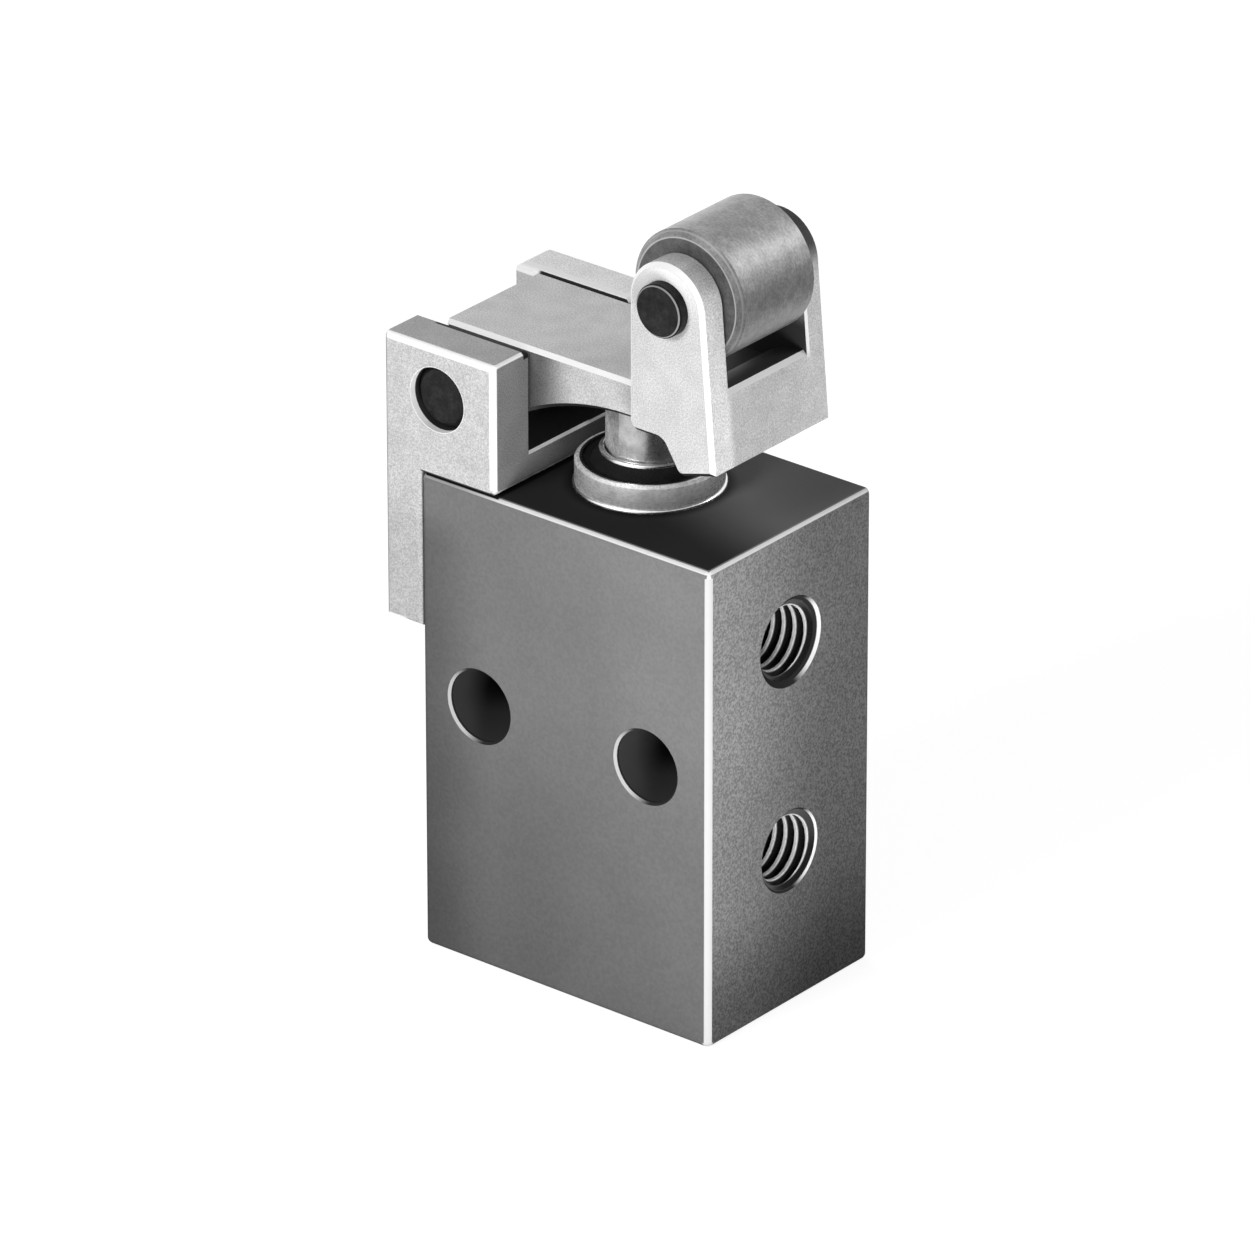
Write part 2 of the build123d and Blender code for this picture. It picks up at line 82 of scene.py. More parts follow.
class Graph:
    """A material's node tree, with short calls that add nodes and join them."""

    def __init__(self, name: str) -> None:
        """Starts a material round one principled shader.

        Args:
            name: the material's name.
        """
        self.material = bpy.data.materials.new(name)
        self.material.use_nodes = True
        self.tree = self.material.node_tree
        self.shader = self.tree.nodes["Principled BSDF"]

    def feed(self, node: bpy.types.Node, inputs: Inputs) -> None:
        """Joins sockets to some inputs of a node, or writes plain values there.

        Args:
            node: the node.
            inputs: what goes into each input, by the input's name or number.
        """
        for key, value in inputs.items():
            if isinstance(value, bpy.types.NodeSocket):
                self.tree.links.new(value, node.inputs[key])
            else:
                node.inputs[key].default_value = value

    def node(self, kind: str, inputs: Inputs, **settings: object) -> bpy.types.Node:
        """Adds a node.

        Args:
            kind: the node's type, without its ShaderNode prefix.
            inputs: what goes into its inputs.
            **settings: the node's own settings.

        Returns:
            The new node.
        """
        made = self.tree.nodes.new("ShaderNode" + kind)
        for name, value in settings.items():
            setattr(made, name, value)
        self.feed(made, inputs)
        return made

    def maths(self, operation: str, *values: Value) -> Socket:
        """The result of a Math node."""
        return self.node("Math", dict(enumerate(values)), operation=operation).outputs[0]

    def between(self, value: Value, low: float, high: float, first: float, last: float) -> Socket:
        """A smooth change from first, where value is at low, to last, where it is at high."""
        inputs = {"Value": value, "From Min": low, "From Max": high, "To Min": first, "To Max": last}
        return self.node("MapRange", inputs, interpolation_type="SMOOTHSTEP").outputs["Result"]

    def step(self, value: Value, low: float, high: float) -> Socket:
        """A smooth step: 0 where value is at low, 1 where it is at high, which may be below it."""
        return self.between(value, low, high, 0.0, 1.0)

    def band(self, value: Value, low: float, high: float, soft: float = 0.02 * MM) -> Socket:
        """1 between low and high, with a soft border outside each."""
        return self.overlap(self.step(value, low - soft, low), self.step(value, high + soft, high))

    def mix(self, factor: Value, first: Paint, second: Paint, blend: str = "MIX") -> Socket:
        """The first colour where the factor is 0, and the second, blended with it, where it is 1."""
        inputs = {0: factor, 6: first, 7: second}
        return self.node("Mix", inputs, data_type="RGBA", blend_type=blend).outputs[2]

    def toned(self, colour: Paint, *tones: Value) -> Socket:
        """A colour made darker or lighter by the product of some tones."""
        inputs = {0: colour, "Scale": self.overlap(*tones)}
        return self.node("VectorMath", inputs, operation="SCALE").outputs[0]

    def where(self, mask: Value, tone: Value) -> Socket:
        """A tone that holds where the mask is 1, and leaves the colour alone where it is 0."""
        return self.maths("MULTIPLY_ADD", self.maths("SUBTRACT", tone, 1.0), mask, 1.0)

    def overlap(self, *masks: Value) -> Value:
        """The product of some masks: 1 only where all of them are 1."""
        return reduce(partial(self.maths, "MULTIPLY"), masks)

    def either(self, *masks: Value) -> Value:
        """The greatest of some masks: 1 where any of them is 1."""
        return reduce(partial(self.maths, "MAXIMUM"), masks)

    def without(self, mask: Value) -> Socket:
        """1 where the mask is 0, and 0 where it is 1."""
        return self.maths("SUBTRACT", 1.0, mask)

    def away(self, value: Value, middle: float = 0.0) -> Socket:
        """How far a value is from a middle, either way."""
        return self.maths("ABSOLUTE", self.maths("SUBTRACT", value, middle))

    def point(self) -> Socket:
        """The surface point in the object's own coordinates, in metres."""
        return self.node("TexCoord", {}).outputs["Object"]

    def normal(self) -> Socket:
        """The surface's direction in the object's own coordinates."""
        return self.node("TexCoord", {}).outputs["Normal"]

    def parts(self, vector: Socket) -> list[Socket]:
        """The x, y and z parts of a vector."""
        return list(self.node("SeparateXYZ", {0: vector}).outputs)

    def place(self) -> list[Socket]:
        """The x, y and z of the surface point, in metres."""
        return self.parts(self.point())

    def stretched(self, axis: Axis, along: float, across: float) -> Socket:
        """The surface point, with its parts along and across an axis each times a number."""
        scale = tuple(along if each is axis else across for each in Axis)
        return self.node("VectorMath", {0: self.point(), 1: scale}, operation="MULTIPLY").outputs[0]

    def lean(self, axis: Axis) -> Socket:
        """How far the surface's direction lies along an axis, either way: 0 across it, 1 along it."""
        return self.away(self.parts(self.normal())[axis.value])

    def facing(self, direction: Point) -> Socket:
        """How far the surface faces a direction: the cosine of the angle between them."""
        inputs = {0: self.normal(), 1: tuple(Vector(direction).normalized())}
        return self.node("VectorMath", inputs, operation="DOT_PRODUCT").outputs["Value"]

    def towards(self, direction: Point, low: float = 0.8, high: float = 0.95) -> Socket:
        """1 where the surface faces a direction, up to a soft border between two cosines."""
        return self.step(self.facing(direction), low, high)

    def radius(self, centre: Point, axis: Axis) -> Socket:
        """The surface point's distance from an axis.

        Args:
            centre: a point on the axis, in metres.
            axis: the axis's direction.

        Returns:
            The distance, in metres.
        """
        places = [self.maths("SUBTRACT", part, middle) for part, middle in zip(self.place(), centre)]
        del places[axis.value]
        first, second = places
        squared = self.maths("MULTIPLY_ADD", first, first, self.maths("MULTIPLY", second, second))
        return self.maths("SQRT", squared)

    def noise(self, vector: Socket, size: float, detail: float = 2.0) -> Socket:
        """Soft random clouds between 0 and 1, as wide as size in metres, with some finer layers."""
        inputs = {"Vector": vector, "Scale": 1.0 / size, "Detail": detail}
        return self.node("TexNoise", inputs).outputs["Fac"]


def grey(level: float) -> tuple[float, float, float, float]:
    """A neutral colour of that linear brightness."""
    return (level, level, level, 1.0)


@dataclass(frozen=True)
class Finish:
    """A surface finish: its colour, how it shines, and its clouds, grain and fine relief.

    The clouds are broad changes of tone. The grain is fine speckle that also shows in the
    relief and moves the roughness a little.
    """

    name: str
    colour: Point = (0.5, 0.5, 0.5)
    metallic: float = 0.0
    roughness: float = 0.5
    roughness_spread: float = 0.2
    specular: float = 0.5
    cloud_size: float = 4 * MM
    cloud_layers: float = 3.0
    cloud_contrast: float = 0.1
    cloud_edge: Span = (0.3, 0.7)
    grain_size: float = 0.25 * MM
    grain_contrast: float = 0.2
    grain_edge: Span = (0.25, 0.75)
    relief: float = 0.006 * MM

    def pattern(self, graph: Graph) -> Socket:
        """The fine pattern of the surface, between 0 and 1."""
        return graph.noise(graph.point(), self.grain_size)

    def dress(self, graph: Graph, colour: Socket) -> Socket:
        """What a kind of finish adds to the plain colour."""
        return colour

    def metal(self, graph: Graph) -> Value:
        """How far the surface is bare metal, between 0 and 1."""
        return self.metallic

    def relieved(self, graph: Graph, fine: Socket) -> Socket:
        """The direction of the surface once the fine pattern stands out of it."""
        return graph.node("Bump", {"Distance": self.relief, "Height": fine}).outputs[0]

    def material(self) -> bpy.types.Material:
        """Builds the finish.

        Returns:
            The material, with colour, roughness and relief from its nodes.
        """
        graph = Graph(self.name)
        clouds = graph.noise(graph.point(), self.cloud_size, self.cloud_layers)
        fine = self.pattern(graph)
        lowest = tuple(level * (1 - self.grain_contrast) for level in self.colour) + (1.0,)
        highest = tuple(level * (1 + self.grain_contrast) for level in self.colour) + (1.0,)
        grained = graph.mix(graph.step(fine, *self.grain_edge), lowest, highest)
        clouded = graph.mix(graph.step(clouds, *self.cloud_edge), grey(1 - self.cloud_contrast), grey(1.0))
        smoothest = self.roughness - self.roughness_spread / 2
        inputs = {
            "Base Color": self.dress(graph, graph.mix(1.0, grained, clouded, "MULTIPLY")),
            "Roughness": graph.maths("MULTIPLY_ADD", fine, self.roughness_spread, smoothest),
            "Metallic": self.metal(graph),
            "Specular IOR Level": self.specular,
            "Normal": self.relieved(graph, fine),
        }
        graph.feed(graph.shader, inputs)
        return graph.material


@dataclass(frozen=True)
class BlockFinish(Finish):
    """Grey anodised block, with painted shade, and edges painted bright as bare metal and highlight.

    With the distances of a point from the three pairs of outer faces, the smallest is its depth
    in the block and the middle one tells how near it is to an edge.
    """

    low: Point = (0.0, 0.0, 0.0)
    high: Point = (0.0, 0.0, 0.0)
    edge: float = 0.4 * MM
    rim: float = 0.34 * MM
    # painted highlight, as bright bare metal, on the edges
    edge_colour: float = 0.75
    # painted shade: the top's dark colour
    top_colour: float = 0.028
    # painted shade inside the bores
    bore_shade: float = 0.05
    collar_radius: float = 4.4 * MM
    bracket_right: float = -5.4 * MM
    top_slant: float = 0.3
    # painted highlights where the rims of the holes face this way, painted shade elsewhere
    rim_light: Point = (1.0, -1.3, 0.25)
    rim_shade: float = 0.03
    front_rim_highlight: float = 0.5
    port_rim_highlight: float = 0.9
    # the upright edge's painted highlight is this much of the top edges'
    upright_tone: float = 0.8
    # painted shadow in the crease beside the bracket
    crease_shadow: float = 0.01

    def sides(self, graph: Graph, colour: Socket) -> Socket:
        """Paints shade on the front towards its foot and left border, and on the right side across and
        below.

        Args:
            graph: the material's graph.
            colour: the colour so far.

        Returns:
            The shaded colour.
        """
        x, y, z = graph.place()
        fall = graph.between(z, 24 * MM, 0.0, 1.0, 0.7)
        aslant = graph.between(x, -6 * MM, 10 * MM, 0.97, 1.04)
        upper = graph.step(z, 26 * MM, 29.5 * MM)
        border = graph.between(x, -11 * MM, -5.5 * MM, 0.66, 1.0)
        border = graph.where(graph.without(upper), border)
        grain = graph.between(graph.noise(graph.point(), 0.14 * MM), 0.3, 0.7, 0.7, 1.3)
        across = graph.between(y, -7 * MM, 4 * MM, 1.3, 0.7)
        foot = graph.between(z, 9 * MM, 1 * MM, 1.0, 0.45)
        on_right = graph.step(x, self.high[0] - 0.1 * MM, self.high[0] - 0.01 * MM)
        right = graph.where(on_right, graph.overlap(grain, across, foot))
        # painted shade: darker towards the foot and the left border, and across and down the right side,
        # which also has grain
        return graph.toned(colour, fall, aslant, border, right)

    def top(self, graph: Graph, colour: Socket) -> Socket:
        """Paints shade on the top: dark at the front and left, paler at the back right, black round the
        collar.

        Args:
            graph: the material's graph.
            colour: the colour so far.

        Returns:
            The colour with the top's own laid over it.
        """
        x, y, z = graph.place()
        aslant = graph.maths("MULTIPLY_ADD", x, self.top_slant, y)
        pale = graph.between(aslant, -3.2 * MM, 4.2 * MM, 1.0, 5.2)
        radius = graph.radius((0.0, 0.0, 0.0), Axis.Z)
        collar_shadow = graph.between(radius, self.collar_radius, self.collar_radius + 0.9 * MM, 0.3, 1.0)
        # painted shade of the top, with a painted shadow round the collar
        painted = graph.toned((self.top_colour,) * 3, pale, collar_shadow)
        on_top = graph.step(z, self.high[2] - 0.02 * MM, self.high[2] - 0.005 * MM)
        return graph.mix(on_top, colour, painted)

    def rims(self, graph: Graph, colour: Socket, mask: Socket, depth: Socket) -> Socket:
        """Paints highlights on the broken edges of the holes where they face the right front, and shade
        elsewhere.

        Args:
            graph: the material's graph.
            colour: the colour so far.
            mask: 1 on the broken edges.
            depth: the depth in the block, in metres.

        Returns:
            The colour with the rims laid over it.
        """
        x = graph.place()[0]
        # painted highlight where a rim faces the light, near the mouth; painted shade on the rest
        lit = graph.overlap(
            graph.towards(self.rim_light, 0.6, 0.9),
            graph.step(depth, 0.55 * self.rim, 0.45 * self.rim),
        )
        on_right = graph.step(x, self.high[0] - 1 * MM, self.high[0] - 0.5 * MM)
        bright = graph.mix(on_right, grey(self.front_rim_highlight), grey(self.port_rim_highlight))
        return graph.mix(mask, colour, graph.mix(lit, grey(self.rim_shade), bright))

    def edges(self, graph: Graph, colour: Socket, middle: Socket) -> Socket:
        """Paints highlights, bright as bare metal, on the top and front right edges, less beside the
        bracket.

        Args:
            graph: the material's graph.
            colour: the colour so far.
            middle: the middle one of the distances from the outer faces.

        Returns:
            The colour with the edges laid over it.
        """
        x, y, z = graph.place()
        near_top = graph.step(z, self.high[2] - 1.2 * self.edge, self.high[2] - self.edge)
        width = graph.between(near_top, 0.0, 1.0, 0.85 * self.edge, 0.55 * self.edge)
        near_edge = graph.step(graph.maths("SUBTRACT", middle, width), 0.05 * self.edge, -0.05 * self.edge)
        right = graph.step(x, self.high[0] - 1.2 * self.edge, self.high[0] - self.edge)
        front = graph.step(y, self.low[1] + 1.2 * self.edge, self.low[1] + self.edge)
        chosen = graph.either(near_top, graph.overlap(right, front))
        beside = graph.step(x, self.bracket_right + 0.2 * MM, self.bracket_right)
        # painted highlight and wear, fading towards the bracket
        highlight_amount = graph.between(x, -9 * MM, -4 * MM, 0.3, 1.0)
        bare_and_highlight = graph.mix(near_top, grey(self.upright_tone * self.edge_colour), grey(self.edge_colour))
        colour = graph.mix(graph.overlap(near_edge, chosen, highlight_amount), colour, bare_and_highlight)
        # painted shadow in the crease under the top edge, beside the bracket
        under = graph.step(z, self.high[2] - 0.3 * self.edge, self.high[2] - 0.2 * self.edge)
        return graph.mix(graph.overlap(beside, under), colour, grey(self.crease_shadow))

    def dress(self, graph: Graph, colour: Socket) -> Socket:
        """Adds painted shade on the sides, top and bores, and painted highlights on the rims and edges.

        Args:
            graph: the material's graph.
            colour: the plain anodised colour.

        Returns:
            The colour with these laid over it.
        """
        gaps = []
        for place, low, high in zip(graph.place(), self.low, self.high):
            gaps.append(graph.maths("SUBTRACT", (high - low) / 2, graph.away(place, (low + high) / 2)))
        low_xy = graph.maths("MINIMUM", gaps[0], gaps[1])
        high_xy = graph.maths("MAXIMUM", gaps[0], gaps[1])
        depth = graph.maths("MINIMUM", low_xy, gaps[2])
        middle = graph.maths("MAXIMUM", low_xy, graph.maths("MINIMUM", high_xy, gaps[2]))
        in_bore = graph.step(depth, self.rim - 0.01 * MM, self.rim + 0.03 * MM)
        on_rim = graph.overlap(
            graph.step(depth, 0.002 * MM, 0.01 * MM),
            graph.step(middle, self.edge, 1.5 * self.edge),
            graph.without(in_bore),
        )
        colour = self.top(graph, self.sides(graph, colour))
        # painted shade inside the bores
        colour = graph.mix(in_bore, colour, grey(self.bore_shade))
        colour = self.rims(graph, colour, on_rim, depth)
        return self.edges(graph, colour, middle)


@dataclass(frozen=True)
class CastFinish(Finish):
    """Light die-casting with fine grain, and bright edges painted as rubbed skin and highlight.

    An edge is bevelled or rounded, so its direction lies between two of the main directions.
    """

    roughness: float = 0.55
    specular: float = 0.1
    cloud_size: float = 1.5 * MM
    grain_size: float = 0.09 * MM
    grain_contrast: float = 0.25
    relief: float = 0.01 * MM
    # painted highlight and rubbed skin on the edges
    edge_colour: float = 0.97

    def shade(self, graph: Graph, colour: Socket) -> Socket:
        """The painted light and shade of this casting's own places."""
        return colour

    def bright_edges(self, graph: Graph) -> Socket:
        """The edges of the front and back faces, whose direction lies between Y and another."""
        lean = graph.lean(Axis.Y)
        return graph.overlap(graph.step(lean, 0.2, 0.4), graph.step(lean, 0.95, 0.85))

    def dress(self, graph: Graph, colour: Socket) -> Socket:
        """Adds the casting's painted shade and its bright edges, rubbed skin and painted highlight."""
        shaded = self.shade(graph, colour)
        return graph.mix(self.bright_edges(graph), shaded, grey(self.edge_colour))


@dataclass(frozen=True)
class BracketFinish(CastFinish):
    """The bracket's casting, with painted shade: darker on its faces towards +X and on the front ear's
    top.
    """

    # painted shade on the faces towards +X and on the front ear's top
    side_tone: float = 0.4
    top_tone: float = 0.78
    # painted shade in the hollow
    hollow_shade: float = 0.012
    inner: float = 4.5 * MM
    half_width: float = 7.5 * MM
    web_top: float = 32.57 * MM
    ear_top: float = 39.05 * MM
    ear_right: float = -5.4 * MM
    pivot: Point = (-9.77 * MM, 0.0, 35.7 * MM)
    pin_radius: float = 2.0 * MM
    # the mouth of the pin's hole is painted bright, bare metal and highlight
    mouth_depth: float = 0.42 * MM
    # painted shade along the gap, on the left and lower edges and deep in the pin's hole
    gap_shadow: float = 0.012
    left_edge_shade: float = 0.1
    lower_edge_shade: float = 0.015
    hole_shade: float = 0.03

    def shade(self, graph: Graph, colour: Socket) -> Socket:
        """Paints shade on the +X faces and the hollow, and light and shade on the ear tops, the web and
        the plate.

        Args:
            graph: the material's graph.
            colour: the colour so far.

        Returns:
            The colour with these tones.
        """
        y, z = graph.place()[1:]
        side = graph.towards((1, 0, 0))
        top = graph.towards((0, 0, 1))
        tops = graph.between(y, 0.0, -4 * MM, 1.6, self.top_tone)
        web = graph.step(z, self.web_top, self.web_top - 0.3 * MM)
        along = graph.between(y, -3.5 * MM, 3 * MM, 1.12, 0.3)
        plate = graph.between(z, 31 * MM, 26 * MM, 1.0, 0.85)
        # painted light and shade: the plate darker at its foot, the +X faces darker, the ear tops and the
        # web toned
        colour = graph.toned(
            colour, plate, graph.where(side, self.side_tone), graph.where(top, tops),
            graph.where(graph.overlap(side, web), along),
        )
        # painted shade in the hollow
        inside = graph.step(graph.away(y), self.inner + 0.03 * MM, self.inner + 0.01 * MM)
        above = graph.step(z, self.web_top - 0.04 * MM, self.web_top - 0.02 * MM)
        below = graph.step(z, 38 * MM, 36 * MM)
        return graph.mix(graph.overlap(inside, above, below), colour, grey(self.hollow_shade))

    def bright_edges(self, graph: Graph) -> Socket:
        """Painted highlights: every edge, and bands beside the front ear's top and right edges and on the
        rear ear.

        Args:
            graph: the material's graph.

        Returns:
            1 on the bright edges and bands.
        """
        x, y, z = graph.place()
        most = graph.either(*(graph.lean(axis) for axis in Axis))
        plate_edge = graph.overlap(
            graph.step(z, 31.2 * MM, 30.8 * MM), graph.step(x, -12.5 * MM, -12 * MM)
        )
        web_right = graph.overlap(
            graph.step(y, 0.6 * MM, 1.4 * MM), graph.step(z, self.web_top + 1 * MM, self.web_top)
        )
        edges = graph.overlap(
            graph.step(most, 0.97, 0.9), graph.without(plate_edge), graph.without(web_right)
        )
        # painted highlight bands beside the front ear's top and right edges, and on the rear ear
        front = graph.towards((0, -1, 0), 0.9, 0.97)
        near_top = graph.step(z, self.ear_top - 0.5 * MM, self.ear_top - 0.4 * MM)
        near_right = graph.step(x, self.ear_right - 0.48 * MM, self.ear_right - 0.38 * MM)
        strips = graph.either(near_top, near_right)
        beside = graph.overlap(front, strips, graph.step(z, 31 * MM, 31.3 * MM))
        rear = graph.overlap(
            graph.band(y, self.inner + 0.2 * MM, self.inner + 0.75 * MM, 0.06 * MM),
            graph.step(z, self.ear_top - 0.3 * MM, self.ear_top - 0.2 * MM),
        )
        return graph.either(edges, beside, rear)

    def dress(self, graph: Graph, colour: Socket) -> Socket:
        """Adds painted shadow at the gap and edges, and painted light and shade in the pin's hole.

        Args:
            graph: the material's graph.
            colour: the plain cast colour.

        Returns:
            The colour with these laid over it.
        """
        colour = super().dress(graph, colour)
        x, y, z = graph.place()
        # painted shadow along the gap between the ears and the lever
        by_gap = graph.overlap(
            graph.step(z, self.ear_top - 0.5 * MM, self.ear_top - 0.4 * MM),
            graph.step(x, -12.2 * MM, -11.9 * MM),
            graph.either(
                graph.band(y, -self.inner - 0.42 * MM, -self.inner + 0.1 * MM),
                graph.band(y, self.inner - 0.1 * MM, self.inner + 0.16 * MM),
            ),
        )
        # painted shade on the left edges and the lower front edges
        left_edge = graph.overlap(
            graph.towards((-1, -0.8, 0)), graph.step(z, self.ear_top, self.ear_top - 0.4 * MM)
        )
        lower_edge = graph.overlap(graph.towards((0, -1, -1)), graph.step(x, -11.2 * MM, -11 * MM))
        colour = graph.mix(by_gap, colour, grey(self.gap_shadow))
        colour = graph.mix(left_edge, colour, grey(self.left_edge_shade))
        colour = graph.mix(lower_edge, colour, grey(self.lower_edge_shade))
        radius = graph.radius(self.pivot, Axis.Y)
        # the hole's mouth painted bright, bare metal and highlight; deeper in, painted shade
        wall = graph.overlap(
            graph.band(radius, 0.9 * self.pin_radius, self.pin_radius + 0.04 * MM),
            graph.step(graph.away(y), self.inner, self.inner + 0.1 * MM),
        )
        depth = self.mouth_depth - self.half_width
        mouth = graph.step(y, depth + 0.04 * MM, depth)
        return graph.mix(wall, colour, graph.mix(mouth, grey(self.hole_shade), grey(self.edge_colour)))


@dataclass(frozen=True)
class LeverFinish(CastFinish):
    """The lever's casting, with painted shade in the roller's pocket and beside the bracket's ear."""

    # painted shade in the roller's pocket
    pocket_shade: float = 0.045
    pocket_half_width: float = 3.6 * MM
    pocket_left: float = 2.9 * MM
    pocket_top: float = 43.5 * MM
    roller: Point = (5.5 * MM, 0.0, 45.15 * MM)
    ear_right: float = -5.4 * MM
    # painted shade on the edges below the arm and the fork
    lower_edge_shade: float = 0.02

    def shade(self, graph: Graph, colour: Socket) -> Socket:
        """Paints shade by the ear and in the pocket, light and shade on the fork, and a highlight on the
        sill.

        Args:
            graph: the material's graph.
            colour: the colour so far.

        Returns:
            The colour with these tones.
        """
        x, y, z = graph.place()
        # painted shadow of the bracket's ear on the arm's front
        front = graph.towards((0, -1, 0))
        beside_ear = graph.between(x, self.ear_right + 0.6 * MM, self.ear_right + 3.6 * MM, 0.22, 1.0)
        arm = graph.between(y, -4.6 * MM, -4.8 * MM, 0.9, 1.0)
        in_front = graph.where(front, graph.overlap(beside_ear, arm))
        # painted light and shade on the faces towards +X
        along_right = graph.overlap(
            graph.between(y, -3.8 * MM, -3.2 * MM, 1.45, 1.0), graph.between(y, 0.0, 4.5 * MM, 0.87, 1.0)
        )
        right = graph.where(graph.towards((1, 0, 0)), along_right)
        # painted light on the top faces
        tops = graph.where(graph.towards((0, 0, 1), 0.9, 0.97), 1.15)
        flank = graph.step(graph.lean(Axis.Y), 0.5, 0.2)
        # painted shade on the ears' rounded tops
        high = graph.step(z, 44.5 * MM, 46.5 * MM)
        crest = graph.where(graph.overlap(flank, high, graph.step(y, 3 * MM, 3.5 * MM)), 0.15)
        upper_left = graph.towards((-0.4, 0, 1), 0.7, 1.0)
        front_crest = graph.where(graph.overlap(flank, high, upper_left), 0.72)
        colour = graph.toned(colour, in_front, right, tops, crest, front_crest)
        wall = self.pocket_half_width
        in_pocket = graph.overlap(
            graph.step(graph.away(y), wall + 0.05 * MM, wall + 0.02 * MM),
            graph.step(x, self.pocket_left, self.pocket_left + 0.8 * MM),
            graph.step(z, self.pocket_top, self.pocket_top - 2 * MM),
            graph.step(z, 39.1 * MM, 39.16 * MM),
            graph.towards((1, 0, 0), 0.95, 0.9),
        )
        # painted shade in the pocket
        colour = graph.mix(in_pocket, colour, grey(self.pocket_shade))
        # painted highlight on the pocket's sill
        sill = graph.overlap(graph.towards((1, 0, 1), 0.97, 0.99), in_pocket)
        return graph.mix(sill, colour, grey(self.edge_colour))

    def bright_edges(self, graph: Graph) -> Socket:
        """Painted highlights on the side faces' edges, apart from those below, and a ring round the
        roller's pin.

        Args:
            graph: the material's graph.

        Returns:
            1 on the bright edges, and less on the highlight ring.
        """
        y, z = graph.place()[1:]
        upward = graph.step(graph.parts(graph.normal())[2], -0.5, -0.2)
        edges = graph.overlap(super().bright_edges(graph), upward)
        # painted highlight ring round the roller's pin
        highlight_amount = graph.overlap(
            graph.towards((0, -1, 0), 0.9, 0.97),
            graph.band(graph.radius(self.roller, Axis.Y), 1.9 * MM, 2.3 * MM, 0.35 * MM),
            graph.between(z, self.roller[2] - 1 * MM, self.roller[2] + 2.5 * MM, 0.0, 0.6),
        )
        # painted highlight on a strip facing +X beside the pocket
        wall = graph.overlap(
            graph.towards((1, 0, 0.1), 0.9, 0.97),
            graph.band(y, self.pocket_half_width, self.pocket_half_width + 0.28 * MM),
            graph.band(z, 40.3 * MM, 46 * MM, 0.8 * MM),
        )
        return graph.either(edges, highlight_amount, wall)

    def dress(self, graph: Graph, colour: Socket) -> Socket:
        """Adds painted shade on the edges below the arm and the fork to the casting's tones and edges."""
        below = graph.towards((0, -1, -1), 0.85, 0.97)
        return graph.mix(below, super().dress(graph, colour), grey(self.lower_edge_shade))


@dataclass(frozen=True)
class PaintedRing:
    """A thin ring of one colour painted round the axis of a turned piece."""

    radius: float
    width: float
    colour: float


@dataclass(frozen=True)
class TurnedFinish(Finish):
    """A turned or ground round piece, with fine lines round its axis.

    Its finish is the same all round, so that its reflections come from what stands round it. Soft
    waves along the axis, left by polishing, break them into streaks. How far the surface leans
    along the axis tells its ends, its bevels and its round side apart.
    """

    axis: Axis = Axis.Z
    centre: Point = (0.0, 0.0, 0.0)
    line_width: float = 0.05 * MM
    line_stretch: float = 0.12
    wave_width: float = 1.0 * MM
    wave_stretch: float = 0.15
    wave_height: float = 0.0
    end: Span = (0.9, 0.97)
    # painted light and shade on the ends and the bevels, as tones
    end_painted_light: float = 1.0
    bevel: tuple[Span, Span] = ((0.3, 0.5), (0.95, 0.85))
    bevel_painted_light: float = 1.0
    round_side: Span = (0.5, 0.2)
    painted_rings: tuple[PaintedRing, ...] = ()
    milled: Point | None = None
    milled_metallic: float = 0.15

    def about(self, node: str) -> "TurnedFinish":
        """The same finish, centred on a node of the frame."""
        low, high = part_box(node)
        return replace(self, name=f"{self.name} {node}", centre=tuple((low + high) / 2))

    def pattern(self, graph: Graph) -> Socket:
        """Lines round the axis, with speckle: the lines are noise that is long round the piece."""
        lines = graph.noise(graph.stretched(self.axis, 1.0, self.line_stretch), self.line_width)
        return graph.maths("MULTIPLY", graph.maths("ADD", lines, super().pattern(graph)), 0.5)

    def metal(self, graph: Graph) -> Value:
        """The same all over, but duller on a milled flat that faces the direction called milled.

        Args:
            graph: the material's graph.

        Returns:
            How far the surface is bare metal, between 0 and 1.
        """
        if self.milled is None:
            return self.metallic
        return graph.between(graph.facing(self.milled), 0.96, 0.98, self.metallic, self.milled_metallic)

    def relieved(self, graph: Graph, fine: Socket) -> Socket:
        """Adds the waves of the polish to the fine lines: they run along the axis, on the round side.

        Args:
            graph: the material's graph.
            fine: the fine pattern.

        Returns:
            The direction of the surface with both.
        """
        waves = graph.noise(graph.stretched(self.axis, self.wave_stretch, 1.0), self.wave_width, 1.0)
        inputs = {
            "Distance": self.wave_height,
            "Height": graph.overlap(waves, graph.step(graph.lean(self.axis), *self.round_side)),
            "Normal": super().relieved(graph, fine),
        }
        return graph.node("Bump", inputs).outputs[0]

    def dress(self, graph: Graph, colour: Socket) -> Socket:
        """Paints light and shade on the ends and the bevels, and paints the rings.

        Args:
            graph: the material's graph.
            colour: the plain turned colour.

        Returns:
            The colour with these tones.
        """
        lean = graph.lean(self.axis)
        bevel = graph.overlap(*(graph.step(lean, *side) for side in self.bevel))
        end_painted_light = graph.where(graph.step(lean, *self.end), self.end_painted_light)
        colour = graph.toned(colour, end_painted_light, graph.where(bevel, self.bevel_painted_light))
        for painted_ring in self.painted_rings:
            away = graph.away(graph.radius(self.centre, self.axis), painted_ring.radius)
            ring = graph.step(away, 0.55 * painted_ring.width, 0.35 * painted_ring.width)
            colour = graph.mix(ring, colour, grey(painted_ring.colour))
        return colour


